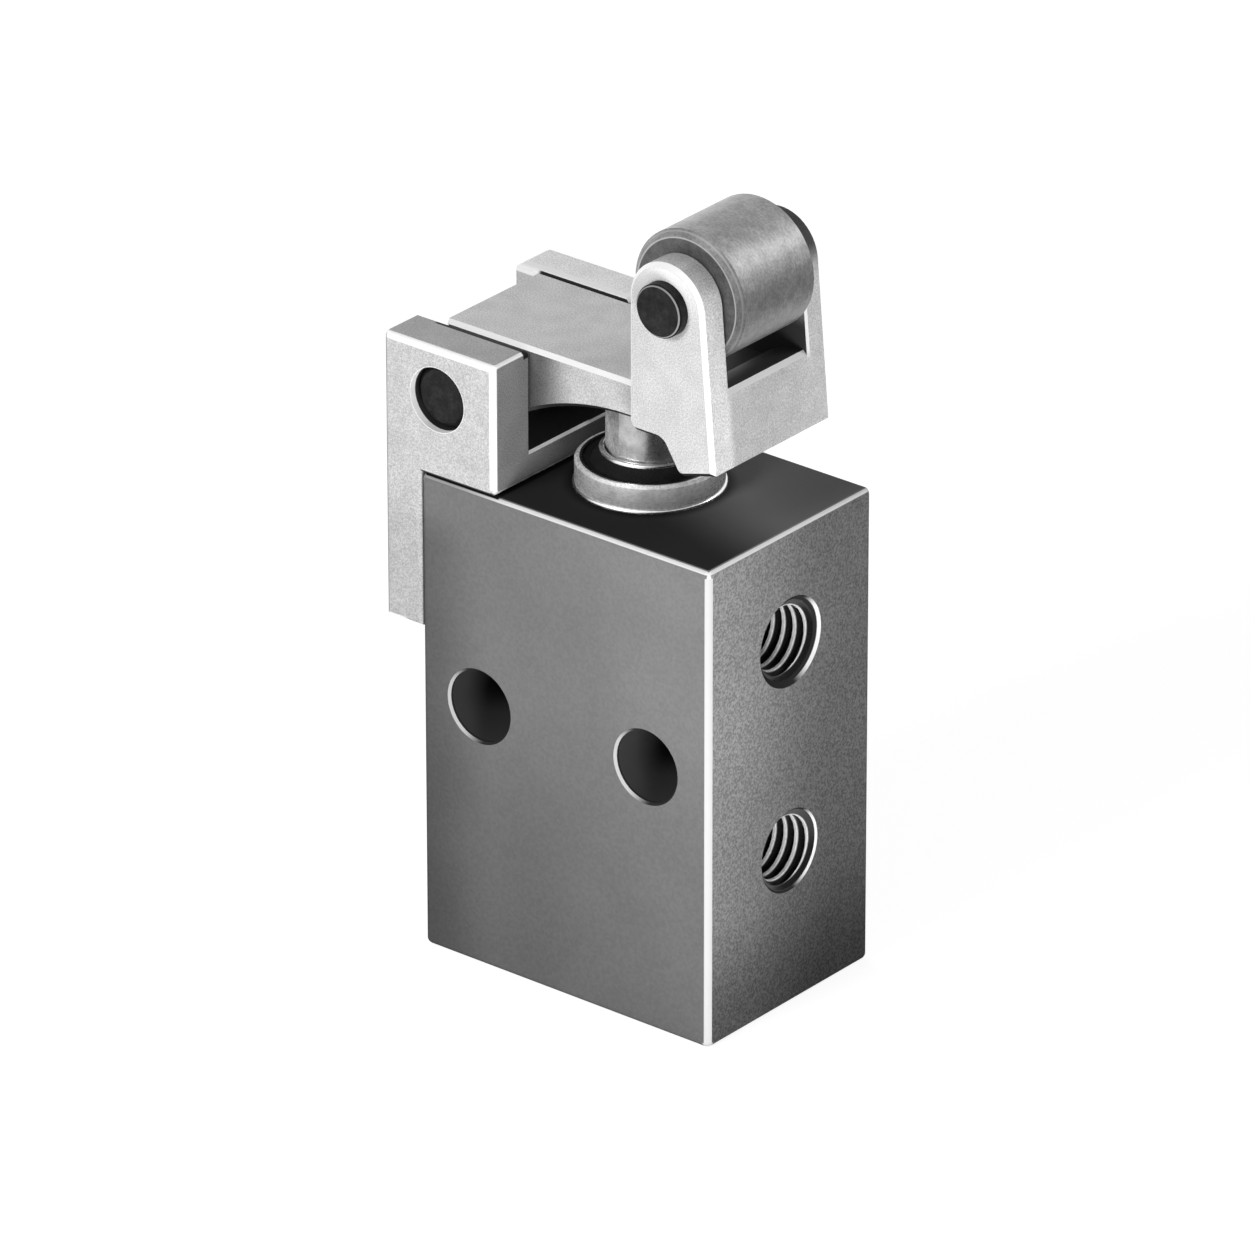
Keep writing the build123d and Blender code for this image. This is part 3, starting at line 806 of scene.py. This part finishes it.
@dataclass(frozen=True)
class ThreadFinish(Finish):
    """A cut thread: bright crests, polished metal and highlight, over roots of painted shade, by its ridge
    attribute.
    """

    root_shade: float = 0.012
    crest: Span = (0.75, 1.0)

    def dress(self, graph: Graph, colour: Socket) -> Socket:
        """Paints shade in the roots by the height of the ridge."""
        ridge = graph.node("Attribute", {}, attribute_name="ridge").outputs["Fac"]
        return graph.mix(graph.step(ridge, *self.crest), grey(self.root_shade), colour)


class FinishBook:
    """All finishes of the valve, each built once when it is first asked for."""

    def __init__(self) -> None:
        """Starts with no material built."""
        self.made: dict[str, bpy.types.Material] = {}

    def lay(self, finish: Finish, *pieces: bpy.types.Object | str) -> None:
        """Gives some pieces one finish all over.

        Args:
            finish: their finish.
            *pieces: new pieces, or the names of nodes of the frame.
        """
        if finish.name not in self.made:
            self.made[finish.name] = finish.material()
        for piece in pieces:
            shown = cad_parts[piece] if isinstance(piece, str) else piece
            shown.data.materials.clear()
            shown.data.materials.append(self.made[finish.name])
            log.info("%s: %s", shown.name, finish.name)


def add_object(name: str, data: bpy.types.ID) -> bpy.types.Object:
    """Adds an object to the scene.

    Args:
        name: its name.
        data: its mesh, light or camera.

    Returns:
        The object.
    """
    made = bpy.data.objects.new(name, data)
    bpy.context.scene.collection.objects.link(made)
    return made


def add_sheet(name: str, corners: list[Point], material: bpy.types.Material) -> bpy.types.Object:
    """Adds a flat sheet of one face to the scene.

    Args:
        name: its name.
        corners: its four corners, counted left round as its face is looked at.
        material: its material.

    Returns:
        The sheet.
    """
    mesh = bpy.data.meshes.new(name)
    mesh.from_pydata(corners, [], [(0, 1, 2, 3)])
    mesh.materials.append(material)
    return add_object(name, mesh)


def surface_of(
    points: np.ndarray, name: str, ridge: np.ndarray | None = None, capped: bool = False
) -> bpy.types.Object:
    """Makes a closed piece from a grid of points whose profile joins up with itself.

    Point (i, j) is the surface's place at step i along the piece and step j round its profile,
    and each face joins (i, j), (i+1, j), (i+1, j+1) and (i, j+1), with j counted round. The piece
    is a ring, with i counted round as well, or a rod with a flat cap at both ends.

    Args:
        points: the places, as an array of along x round x 3, in metres.
        name: the piece's name.
        ridge: a value for each point, kept as the attribute that a thread's finish reads.
        capped: whether the piece is a rod with two ends.

    Returns:
        The piece, with its faces pointing outwards.
    """
    turns, steps = points.shape[:2]
    i, j = np.meshgrid(np.arange(turns - 1 if capped else turns), np.arange(steps), indexing="ij")
    i_next, j_next = (i + 1) % turns, (j + 1) % steps
    corners = [i * steps + j, i_next * steps + j, i_next * steps + j_next, i * steps + j_next]
    faces = np.stack(corners, axis=-1).reshape(-1, 4)
    flat = points.reshape(-1, 3)
    a, b, c, d = (flat[faces[:, k]] for k in range(4))
    volume = np.sum(a * (np.cross(b, c) + np.cross(c, d)))
    outward = slice(None, None, -1 if volume < 0 else 1)
    around = np.arange(steps)
    caps = [around, ((turns - 1) * steps + around)[::-1]] if capped else []
    shown = faces[:, outward].tolist() + [cap[outward].tolist() for cap in caps]
    mesh = bpy.data.meshes.new(name)
    mesh.from_pydata(flat.tolist(), [], shown)
    if ridge is not None:
        kept = mesh.attributes.new("ridge", "FLOAT", "POINT")
        kept.data.foreach_set("value", ridge.ravel().astype(np.float32))
    mesh.polygons.foreach_set("use_smooth", np.ones(len(mesh.polygons), bool))
    mesh.set_sharp_from_angle(angle=CREASE)
    mesh.update()
    return add_object(name, mesh)


def arc(middle: tuple[float, float], reach: tuple[float, float], start: float, end: float,
        steps: int) -> np.ndarray:
    """Points of an oval arc: middle + (reach x cos a, reach z sin a), with a from start to end.

    Args:
        middle: radius and height of the oval's middle.
        reach: its half width and half height.
        start: the first angle.
        end: the last angle.
        steps: how many points.

    Returns:
        The points, as an array of steps x 2.
    """
    angle = np.linspace(start, end, steps)
    return np.stack([middle[0] + reach[0] * np.cos(angle), middle[1] + reach[1] * np.sin(angle)], axis=-1)


def ring_points(profile: np.ndarray, turns: int) -> np.ndarray:
    """A profile carried round the Z axis: x = r cos a, y = r sin a, z as in the profile.

    Args:
        profile: radius and height of each corner, as an array of steps x 2.
        turns: how many steps the round is cut into.

    Returns:
        The grid of points.
    """
    angle = np.linspace(0, 2 * np.pi, turns, endpoint=False)[:, None]
    radius, height = profile[None, :, 0], profile[None, :, 1]
    level = np.broadcast_to(height, (turns, len(profile)))
    return np.stack([radius * np.cos(angle), radius * np.sin(angle), level], axis=-1)


@dataclass
class PortThread:
    """The M5 thread of one port in the right side of the body."""

    name: str
    height: float
    mouth: float
    start: float
    radius: float = 2.5 * MM
    pitch: float = 0.8 * MM
    tooth: float = 0.541 * pitch
    flat: float = 0.125
    lead_in: float = 0.25 * pitch
    run_out: float = 0.5 * pitch
    length: float = 4.5 * MM
    first_crest: float = 0.26 * MM
    sink: float = 0.02 * MM
    steps_round: int = 128
    inner_steps: int = 120
    outer_steps: int = 4

    def build(self) -> bpy.types.Object:
        """Works out the thread as one closed sleeve.

        On the inner side the radius is the wall's, less the ridge: r = wall - tooth * w(p), with
        p = (depth - first crest) / pitch - angle / full turn, and w a wave with straight 60 degree
        flanks that is flat for an eighth of the pitch at its roots and twice that at its crests.
        The ridge grows and fades over a quarter and half a pitch at the ends. The outer side is the
        plain wall of the bore.

        Returns:
            The thread, in its place.
        """
        angle = np.linspace(0, 2 * np.pi, self.steps_round, endpoint=False)[:, None]
        depth_in = np.linspace(self.start, self.length, self.inner_steps)[None, :]
        depth_out = np.linspace(self.length, self.start, self.outer_steps)[None, :]
        crest = self.start + self.first_crest
        phase = np.mod((depth_in - crest) / self.pitch - angle / (2 * np.pi) + 0.5, 1.0)
        wave = np.clip((1 - 2 * np.abs(phase - 0.5) - self.flat) / (1 - 3 * self.flat), 0.0, 1.0)
        grown = np.clip((depth_in - self.start) / self.lead_in, 0.0, 1.0)
        left = np.clip((self.length - depth_in) / self.run_out, 0.0, 1.0)
        ridge_in = wave * grown * left
        radius_in = self.radius - self.sink - self.tooth * ridge_in
        whole = np.ones((self.steps_round, 1))
        outside = np.ones((self.steps_round, self.outer_steps))
        depth = np.concatenate([depth_in * whole, depth_out * whole], axis=1)
        radius = np.concatenate([radius_in, self.radius * outside], axis=1)
        ridge = np.concatenate([ridge_in, 0 * outside], axis=1)
        y, z = radius * np.cos(angle), self.height + radius * np.sin(angle)
        return surface_of(np.stack([self.mouth - depth, y, z], axis=-1), self.name, ridge)


@dataclass
class ValveBlock:
    """The ported body with the threads of its two ports."""

    outlet_height: float = 23.55 * MM
    supply_height: float = 10.05 * MM
    outlet_countersink: float = 0.33 * MM
    supply_countersink: float = 0.12 * MM
    anodised: BlockFinish = BlockFinish(
        "grey anodised block", colour=(0.2, 0.2, 0.2), roughness=0.6, specular=0.0, cloud_size=9 * MM,
        cloud_contrast=0.12, grain_size=0.2 * MM, grain_contrast=0.07, relief=0.003 * MM,
    )
    # crests bright as polished metal and highlight, roots painted shade
    thread: ThreadFinish = ThreadFinish(
        "cut thread", colour=(0.95, 0.95, 0.95), metallic=0.1, roughness=0.3, grain_contrast=0.05,
        relief=0.002 * MM,
    )

    def build(self) -> list[bpy.types.Object]:
        """Makes the port threads.

        Returns:
            The two threads.
        """
        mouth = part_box("valve_body")[1].x
        return [
            PortThread("outlet_port_thread", self.outlet_height, mouth, self.outlet_countersink).build(),
            PortThread("supply_port_thread", self.supply_height, mouth, self.supply_countersink).build(),
        ]

    def dress(self, book: FinishBook) -> None:
        """Finishes the body and its threads.

        Args:
            book: the finishes.
        """
        low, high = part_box("valve_body")
        book.lay(replace(self.anodised, low=tuple(low), high=tuple(high)), "valve_body")
        for thread in self.build():
            book.lay(self.thread, thread)
            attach(thread, "valve")


@dataclass(frozen=True)
class CoilSpring:
    """A round-wire spring that stands for its node of the frame."""

    node: str
    joint: str
    turns: float
    wire: float
    steps_per_turn: int = 40
    steps_round: int = 14

    def build(self) -> bpy.types.Object:
        """Works out the coil inside its node's box.

        The wire's middle is R outward + z upward, with outward = (cos a, sin a, 0), a from 0 to all
        the turns, and z rising evenly from half a wire above the foot to half a wire below the top.
        The surface lies half a wire from it, along outward cos b + across sin b, where across is
        square to outward and to the wire.

        Returns:
            The spring, in its place.
        """
        low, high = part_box(self.node)
        half = self.wire / 2
        radius = high.x - half
        angle = np.linspace(0, 2 * np.pi * self.turns, round(self.turns * self.steps_per_turn) + 1)
        rise = (high.z - low.z - self.wire) / angle[-1]
        flat = np.zeros_like(angle)
        outward = np.stack([np.cos(angle), np.sin(angle), flat], axis=-1)
        middle = radius * outward + np.stack([flat, flat, low.z + half + rise * angle], axis=-1)
        across = np.stack([rise * np.sin(angle), -rise * np.cos(angle), flat + radius], axis=-1)
        across /= math.hypot(rise, radius)
        turn = np.linspace(0, 2 * np.pi, self.steps_round, endpoint=False)[None, :, None]
        skin = half * (np.cos(turn) * outward[:, None] + np.sin(turn) * across[:, None])
        return surface_of(middle[:, None] + skin, f"{self.node}_coil", capped=True)

    def place(self, book: FinishBook, finish: Finish) -> None:
        """Finishes the coil, attaches it to the valve and hides its node.

        Args:
            book: the finishes.
            finish: the wire's finish.
        """
        coil = self.build()
        low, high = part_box(self.node)
        book.lay(finish, coil)
        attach(coil, "valve")
        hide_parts(self.node)
        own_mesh(coil)


@dataclass
class PlungerUnit:
    """The guide bush with its collar, its seals, the plunger and the return spring."""

    collar_radius: float = 4.4 * MM
    foot_width: float = 0.14 * MM
    foot_height: float = 0.22 * MM
    foot_sink: float = 0.1 * MM
    lip_bore: float = 2.63 * MM
    lip_width: float = 0.34 * MM
    lip_height: float = 0.16 * MM
    steps_round: int = 128
    spring: CoilSpring = CoilSpring("plunger_spring", "plunger_travel", turns=5, wire=0.45 * MM)
    # painted light on the collar's top end and bevel, and a dark ring painted by the rim's inner edge
    steel: TurnedFinish = TurnedFinish(
        "polished steel", colour=(0.66, 0.66, 0.67), metallic=0.35, roughness=0.28, specular=0.3,
        cloud_size=1.6 * MM, cloud_contrast=0.2, grain_contrast=0.12, relief=0.002 * MM,
        wave_width=1.5 * MM, wave_height=0.08 * MM, end_painted_light=1.5, bevel_painted_light=1.35,
        painted_rings=(PaintedRing(4.0 * MM, 0.22 * MM, 0.02),),
    )
    plunger: TurnedFinish = TurnedFinish(
        "polished plunger", colour=(0.56, 0.56, 0.57), metallic=0.95, roughness=0.28, specular=0.2,
        cloud_size=1.2 * MM, cloud_contrast=0.4, grain_contrast=0.12, relief=0.002 * MM,
        wave_width=1.2 * MM, wave_height=0.04 * MM, milled=(-0.5, -0.866, 0.0),
    )
    bright: TurnedFinish = TurnedFinish(
        "bright steel", colour=(0.93, 0.93, 0.93), metallic=1.0, roughness=0.25, cloud_contrast=0.05,
        grain_contrast=0.04, relief=0.001 * MM,
    )
    rubber: Finish = Finish(
        "black rubber", colour=(0.014, 0.014, 0.014), roughness=0.6, specular=0.05, cloud_size=1.2 * MM,
        cloud_contrast=0.3, grain_size=0.12 * MM, grain_contrast=0.3, relief=0.008 * MM,
    )
    wire: TurnedFinish = TurnedFinish(
        "drawn wire", colour=(0.55, 0.55, 0.56), metallic=1.0, roughness=0.3, cloud_contrast=0.15,
        relief=0.002 * MM,
    )
    brass: TurnedFinish = TurnedFinish(
        "turned brass", colour=(0.72, 0.56, 0.3), metallic=1.0, roughness=0.3, cloud_size=2 * MM,
        cloud_contrast=0.2, relief=0.003 * MM,
    )

    def build(self) -> list[bpy.types.Object]:
        """Makes the bright foot of the collar and the steel edge of the wiper's lip.

        Returns:
            The two rings, each a rounded profile carried round the plunger's axis.
        """
        foot_z, lip_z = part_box("valve_body")[1].z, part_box("stem_wiper")[1].z
        bore = self.collar_radius - self.foot_sink
        reach = (self.foot_width, self.foot_height)
        rounded = arc((self.collar_radius, foot_z), reach, 0, np.pi / 2, 6)
        foot = np.concatenate([[[bore, foot_z]], rounded, [[bore, foot_z + self.foot_height]]])
        half = self.lip_width / 2
        crown = arc((self.lip_bore + half, lip_z), (half, self.lip_height), np.pi, 0, 9)
        below = lip_z - self.lip_height
        lip = np.concatenate([crown, [[self.lip_bore + self.lip_width, below], [self.lip_bore, below]]])
        return [
            surface_of(ring_points(foot, self.steps_round), "collar_foot_ring"),
            surface_of(ring_points(lip, self.steps_round), "wiper_lip_ring"),
        ]

    def dress(self, book: FinishBook) -> None:
        """Finishes the unit.

        Args:
            book: the finishes.
        """
        book.lay(self.steel, "guide_bush")
        book.lay(self.plunger, "plunger")
        book.lay(self.rubber, "stem_wiper", "stem_o_ring")
        book.lay(self.brass, "support_washer")
        self.spring.place(book, self.wire)
        for ring in self.build():
            book.lay(self.bright, ring)
            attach(ring, "valve")


@dataclass
class PoppetCartridge:
    """The valve seat, cage, poppet, spring and plug inside the lower bore."""

    unit: PlungerUnit
    spring: CoilSpring = CoilSpring("poppet_spring", "poppet_travel", turns=4.5, wire=0.4 * MM)

    def dress(self, book: FinishBook) -> None:
        """Finishes the cartridge.

        Args:
            book: the finishes.
        """
        book.lay(self.unit.brass, "valve_seat", "poppet_cage", "poppet", "bottom_plug")
        book.lay(self.unit.rubber, "seat_o_ring", "poppet_seal", "plug_o_ring")
        self.spring.place(book, self.unit.wire)


@dataclass
class LeverBracket:
    """The cast bracket with its screws and the lever's pin."""

    casting: BracketFinish = BracketFinish("bracket casting", colour=(0.58, 0.58, 0.58))
    # bevels painted lighter, as painted highlight
    dark: TurnedFinish = TurnedFinish(
        "blackened steel", colour=(0.02, 0.02, 0.021), roughness=0.45, specular=0.1,
        cloud_size=0.8 * MM, cloud_contrast=0.5, grain_size=0.15 * MM, grain_contrast=0.5,
        relief=0.004 * MM, axis=Axis.Y, bevel_painted_light=1.8,
    )

    def dress(self, book: FinishBook) -> None:
        """Finishes the bracket.

        Args:
            book: the finishes.
        """
        book.lay(self.casting, "lever_bracket")
        book.lay(replace(self.dark, name="blackened screws", axis=Axis.X), "bracket_screws")
        book.lay(self.dark.about("pivot_pin"), "pivot_pin")


@dataclass
class RollerLever:
    """The cast lever with its roller and the roller's pin."""

    bracket: LeverBracket
    casting: LeverFinish = LeverFinish("lever casting", colour=(0.6, 0.6, 0.6))
    # painted shade: the roller's ends and bevels darker; painted highlights: the two bright rings on the
    # ends
    ground: TurnedFinish = TurnedFinish(
        "ground steel", colour=(0.33, 0.33, 0.335), metallic=0.6, roughness=0.44, specular=0.3,
        cloud_size=0.9 * MM, cloud_contrast=0.2, grain_size=0.16 * MM, grain_contrast=0.3,
        relief=0.003 * MM, axis=Axis.Y, wave_width=1.6 * MM, wave_height=0.03 * MM, end_painted_light=0.38,
        bevel_painted_light=0.7, painted_rings=(PaintedRing(3.61 * MM, 0.1 * MM, 0.45), PaintedRing(3.92 * MM, 0.08 * MM, 0.3)),
    )
    # painted highlight ring on the pin's end
    pin_highlight_ring: PaintedRing = PaintedRing(1.54 * MM, 0.08 * MM, 0.28)

    def dress(self, book: FinishBook) -> None:
        """Finishes the lever.

        Args:
            book: the finishes.
        """
        # the pin's bevel painted darker, as painted shade
        pin = replace(self.bracket.dark, name="blackened pin", bevel_painted_light=0.5, painted_rings=(self.pin_highlight_ring,))
        book.lay(self.casting, "lever")
        book.lay(self.ground.about("roller"), "roller")
        book.lay(pin.about("roller_pin"), "roller_pin")


@dataclass(frozen=True)
class Lamp:
    """A square softbox: where it stands, what it lights, its size and its strength."""

    name: str
    place: Point
    target: Point
    size: float
    watts: float
    in_gloss: bool = True

    def build(self) -> None:
        """Adds the softbox, turned to its target and shown in gloss or left out of it."""
        light = bpy.data.lights.new(self.name, "AREA")
        light.shape = "SQUARE"
        light.size = self.size
        light.energy = self.watts
        lamp = add_object(self.name, light)
        aim = Vector(self.target) - Vector(self.place)
        turn = aim.to_track_quat("-Z", "Y").to_matrix().to_4x4()
        lamp.matrix_world = Matrix.Translation(self.place) @ turn
        lamp.visible_camera = False
        lamp.visible_glossy = self.in_gloss


@dataclass(frozen=True)
class Card:
    """A dark card that stands beside the object, for the dark side of its reflections alone."""

    name: str
    x: float
    low: tuple[float, float]
    high: tuple[float, float]
    colour: float = 0.01

    def build(self) -> None:
        """Adds the card across the X axis, from its low to its high corner in y and z."""
        (near, foot), (far, top) = self.low, self.high
        graph = Graph(self.name)
        graph.feed(graph.shader, {"Base Color": grey(self.colour), "Specular IOR Level": 0.0})
        corners = [(self.x, near, foot), (self.x, near, top), (self.x, far, top), (self.x, far, foot)]
        card = add_sheet(self.name, corners, graph.material)
        for way in ("camera", "diffuse", "shadow", "transmission"):
            setattr(card, f"visible_{way}", False)


@dataclass
class Studio:
    """The camera, the pale floor, the white surroundings, the soft lamps and the dark card."""

    camera_place: Point = (0.39746, -0.48874, 0.32696)
    camera_right: Point = (0.7747, 0.6323, -0.0011)
    camera_up: Point = (-0.2752, 0.3387, 0.8998)
    lens: float = 346.2
    floor_size: float = 4.0
    floor_colour: float = 0.75
    seen_floor_colour: float = 0.4
    seen_floor_glow: float = 0.8
    ambient: float = 0.22
    lamps: tuple[Lamp, ...] = (
        Lamp("key", (-0.024, -0.1715, 0.13), (0.0, 0.0, 0.03), 0.07, 0.24),
        Lamp("right fill", (0.065, -0.045, 0.014), (0.0, 0.0, 0.02), 0.028, 0.04, in_gloss=False),
        Lamp("back rim", (0.16, 0.22, 0.2), (0.0, 0.0, 0.04), 0.12, 0.22),
        Lamp("left fill", (-0.35, 0.15, 0.15), (0.0, 0.0, 0.02), 0.25, 0.4),
    )
    card: Card = Card("dark card", 0.03, (-0.06, 0.001), (0.05, 0.045))

    def build(self) -> None:
        """Sets up the camera, the world, the floor, the lamps and the card."""
        self.build_camera()
        self.build_world()
        self.build_floor()
        for lamp in self.lamps:
            lamp.build()
        self.card.build()
        bpy.context.scene.view_settings.view_transform = "Standard"

    def build_camera(self) -> None:
        """Adds the camera at the photograph's viewpoint."""
        data = bpy.data.cameras.new("camera")
        data.lens = self.lens
        camera = add_object("camera", data)
        right, up = Vector(self.camera_right), Vector(self.camera_up)
        back = right.cross(up)
        turn = Matrix((right, up, back)).transposed().to_4x4()
        camera.matrix_world = Matrix.Translation(self.camera_place) @ turn
        bpy.context.scene.camera = camera

    @staticmethod
    def seen(tree: bpy.types.NodeTree) -> Socket:
        """Tells the rays that show the surroundings: from the camera, or through gloss or glass.

        Args:
            tree: the node tree that asks.

        Returns:
            1 for such a ray, and 0 for any other.
        """
        path = tree.nodes.new("ShaderNodeLightPath")
        total = path.outputs["Is Camera Ray"]
        for name in ("Is Glossy Ray", "Is Transmission Ray"):
            add = tree.nodes.new("ShaderNodeMath")
            add.operation = "ADD"
            add.use_clamp = True
            tree.links.new(total, add.inputs[0])
            tree.links.new(path.outputs[name], add.inputs[1])
            total = add.outputs[0]
        return total

    def build_world(self) -> None:
        """White where it is seen, and a soft ambient light elsewhere."""
        world = bpy.data.worlds.new("studio")
        bpy.context.scene.world = world
        world.use_nodes = True
        tree = world.node_tree
        strength = tree.nodes.new("ShaderNodeMapRange")
        strength.inputs["To Min"].default_value = self.ambient
        strength.inputs["To Max"].default_value = 1.0
        tree.links.new(self.seen(tree), strength.inputs["Value"])
        background = tree.nodes["Background"]
        background.inputs["Color"].default_value = grey(1.0)
        tree.links.new(strength.outputs["Result"], background.inputs["Strength"])

    def build_floor(self) -> None:
        """A plain pale floor: white where it is seen, less a part of the object's soft shadow."""
        graph = Graph("pale floor")
        seen = self.seen(graph.tree)
        colour = graph.mix(seen, grey(self.floor_colour), grey(self.seen_floor_colour))
        paint = graph.node("BsdfDiffuse", {"Color": colour})
        glow = graph.node("Emission", {"Strength": graph.maths("MULTIPLY", seen, self.seen_floor_glow)})
        both = graph.node("AddShader", {0: paint.outputs[0], 1: glow.outputs[0]})
        graph.feed(graph.tree.nodes["Material Output"], {"Surface": both.outputs[0]})
        graph.tree.nodes.remove(graph.shader)
        half = self.floor_size / 2
        corners = [(-half, -half, 0), (half, -half, 0), (half, half, 0), (-half, half, 0)]
        floor = add_sheet("floor", corners, graph.material)


def main() -> None:
    """Builds and finishes each sub-assembly, then the studio."""
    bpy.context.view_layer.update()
    book = FinishBook()
    unit = PlungerUnit()
    bracket = LeverBracket()
    for part in (ValveBlock(), unit, PoppetCartridge(unit), bracket, RollerLever(bracket)):
        part.dress(book)
        log.info("finished: %s", type(part).__name__)
    Studio().build()


if __name__ == "__main__":
    main()
